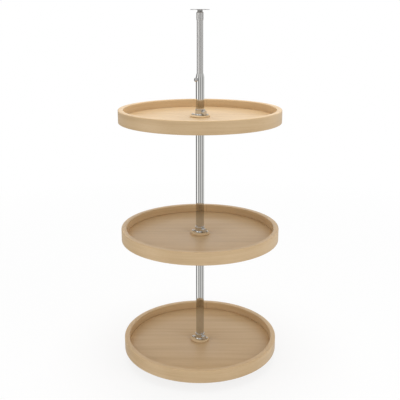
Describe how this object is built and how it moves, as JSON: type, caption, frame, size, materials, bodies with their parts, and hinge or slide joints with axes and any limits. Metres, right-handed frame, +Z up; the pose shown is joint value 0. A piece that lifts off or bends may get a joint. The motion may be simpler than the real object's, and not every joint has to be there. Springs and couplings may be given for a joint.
{
  "type": "rotating pantry shelf unit",
  "caption": "Round wooden trays with raised rims, clamped one above the other on a telescoping chrome post that turns between a floor plate and a ceiling plate.",
  "frame": {"origin": "on the cabinet's floor under the post's axis, the lowest point of the unit", "axes": "+Z up along the post, -Y towards the user, +X to the user's right"},
  "size_m": [0.6096, 0.6096, 1.3566],
  "materials": {
    "maple_side": "clear satin lacquer, bent band",
    "maple_face": "clear satin lacquer, flat board",
    "tan_disc": "turned disc, clear satin lacquer",
    "chrome": "polished chrome plate",
    "satin_nickel": "satin plated tube",
    "zinc_steel": "zinc plated",
    "white_acetal": "moulded bearing plastic",
    "grey_nylon": "moulded bearing plastic"
  },
  "bodies": {
    "floor_bracket": {"floor_plate": "zinc_steel", "pivot_pin": "zinc_steel", "thrust_washer": "white_acetal"},
    "post": {"lower_post": "chrome", "foot_bushing": "white_acetal", "lock_insert": "zinc_steel"},
    "lock_bolt": {"lock_screw": "zinc_steel"},
    "mast": {"upper_post": "satin_nickel", "head_cup": "satin_nickel", "guide_sleeve": "white_acetal", "top_bushing": "grey_nylon"},
    "ceiling_bracket": {"top_plate": "zinc_steel", "top_pin": "zinc_steel"},
    "bottom_tray": {"bottom_tray_rim": "maple_side", "bottom_tray_floor": "maple_face", "bottom_hub_disc": "tan_disc", "bottom_hub_collar": "chrome", "bottom_backing_plate": "zinc_steel", "bottom_disc_screw_left": "chrome", "bottom_disc_screw_right": "chrome", "bottom_nut_left": "zinc_steel", "bottom_nut_right": "zinc_steel"},
    "bottom_clamp": {"bottom_clamp_screw": "chrome"},
    "middle_tray": {"middle_tray_rim": "maple_side", "middle_tray_floor": "maple_face", "middle_hub_disc": "tan_disc", "middle_hub_collar": "chrome", "middle_backing_plate": "zinc_steel", "middle_disc_screw_left": "chrome", "middle_disc_screw_right": "chrome", "middle_nut_left": "zinc_steel", "middle_nut_right": "zinc_steel"},
    "middle_clamp": {"middle_clamp_screw": "chrome"},
    "top_tray": {"top_tray_rim": "maple_side", "top_tray_floor": "maple_face", "top_hub_disc": "tan_disc", "top_hub_collar": "chrome", "top_backing_plate": "zinc_steel", "top_disc_screw_left": "chrome", "top_disc_screw_right": "chrome", "top_nut_left": "zinc_steel", "top_nut_right": "zinc_steel"},
    "top_clamp": {"top_clamp_screw": "chrome"}
  },
  "joints": [
    {"name": "post_spin", "type": "hinge", "parent": "floor_bracket", "child": "post", "pos_m": [0, 0, 0], "axis": [0, 0, 1], "continuous": true},
    {"name": "post_telescope", "type": "slide", "parent": "post", "child": "mast", "axis": [0, 0, 1], "range_m": [-0.1, 0.15]},
    {"name": "top_plate_spin", "type": "hinge", "parent": "mast", "child": "ceiling_bracket", "pos_m": [0, 0, 1.3546], "axis": [0, 0, 1], "continuous": true},
    {"name": "lock_bolt_turn", "type": "hinge", "parent": "post", "child": "lock_bolt", "pos_m": [0, 0, 1.1072], "axis": [-0.8192, -0.5736, 0], "range_deg": [0, 720]},
    {"name": "bottom_tray_height", "type": "slide", "parent": "post", "child": "bottom_tray", "axis": [0, 0, 1], "range_m": [-0.02, 0.15]},
    {"name": "bottom_clamp_turn", "type": "hinge", "parent": "bottom_tray", "child": "bottom_clamp", "pos_m": [0, 0, 0.0722], "axis": [0.6428, -0.766, 0], "range_deg": [0, 720]},
    {"name": "middle_tray_height", "type": "slide", "parent": "post", "child": "middle_tray", "axis": [0, 0, 1], "range_m": [-0.15, 0.15]},
    {"name": "middle_clamp_turn", "type": "hinge", "parent": "middle_tray", "child": "middle_clamp", "pos_m": [0, 0, 0.5294], "axis": [0.6428, -0.766, 0], "range_deg": [0, 720]},
    {"name": "top_tray_height", "type": "slide", "parent": "post", "child": "top_tray", "axis": [0, 0, 1], "range_m": [-0.15, 0.09]},
    {"name": "top_clamp_turn", "type": "hinge", "parent": "top_tray", "child": "top_clamp", "pos_m": [0, 0, 0.9866], "axis": [0.6428, -0.766, 0], "range_deg": [0, 720]}
  ],
  "couplings": [
    {"joint": "top_plate_spin", "follows": "post_spin", "ratio": -1}
  ]
}
